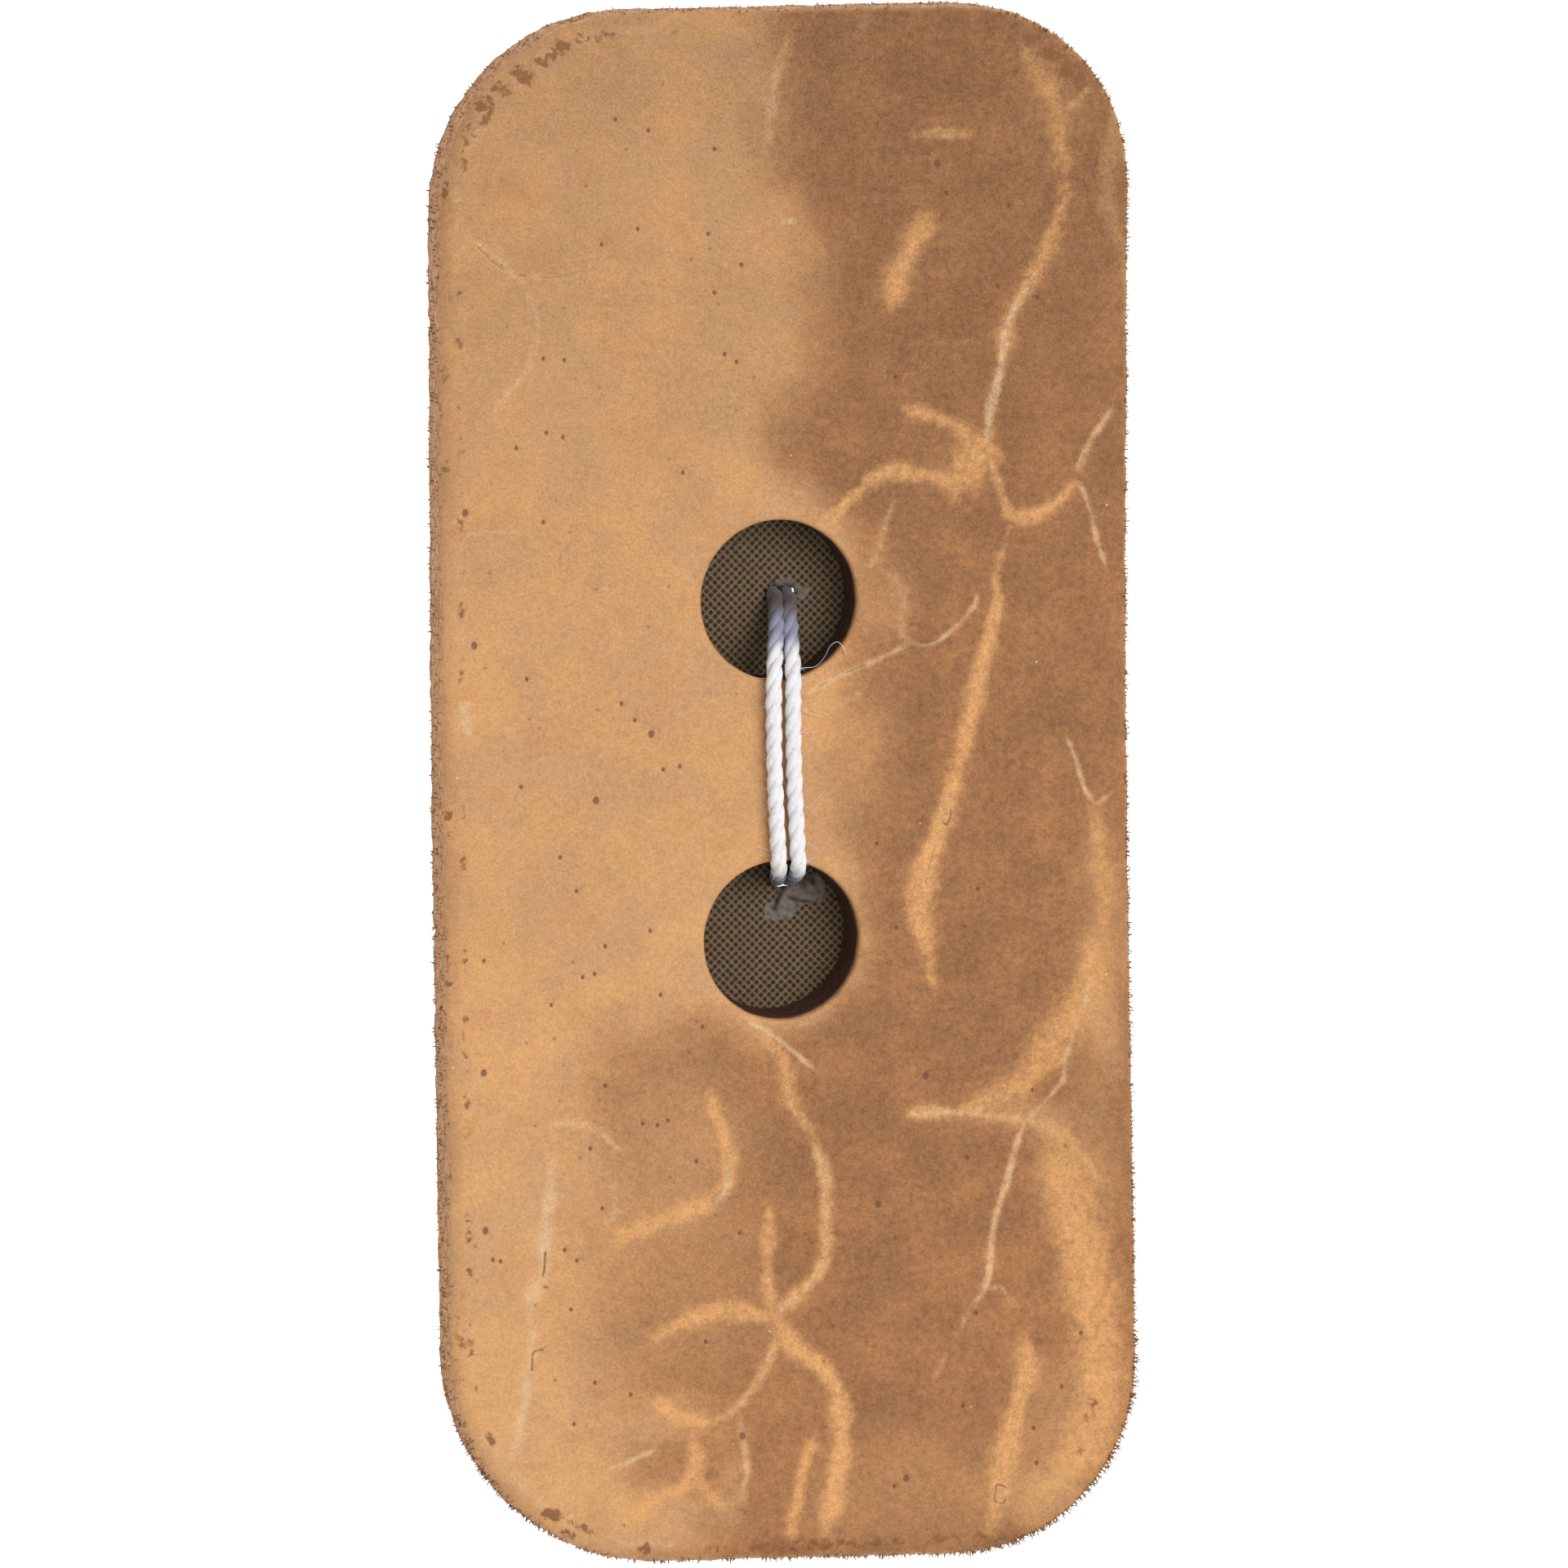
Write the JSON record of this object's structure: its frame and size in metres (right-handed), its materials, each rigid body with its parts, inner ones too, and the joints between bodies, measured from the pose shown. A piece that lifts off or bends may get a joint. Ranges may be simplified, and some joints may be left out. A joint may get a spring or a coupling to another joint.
{
  "type": "leather strop",
  "caption": "Leather sharpening strop: a thick slab with rounded corners and punched holes, tied by cotton twine to a printed corrugated backing card.",
  "frame": {"origin": "centre of the outline, on the back of the card, which is the face it rests on", "axes": "+Z out of the leather's working face, +Y along the strop towards the upper hole, +X across it to the right"},
  "size_m": [0.0468, 0.1012, 0.0077],
  "materials": {
    "leather": "satin",
    "printed_paper": "matte",
    "fluting_paper": "matte",
    "kraft_paper": "matte",
    "twine": "matte"
  },
  "bodies": {
    "root": {"strop_leather": "leather", "card_face": "printed_paper", "card_fluting": "fluting_paper", "card_back": "kraft_paper", "twine_left": "twine", "twine_right": "twine", "twine_knot": "twine"}
  },
  "joints": []
}
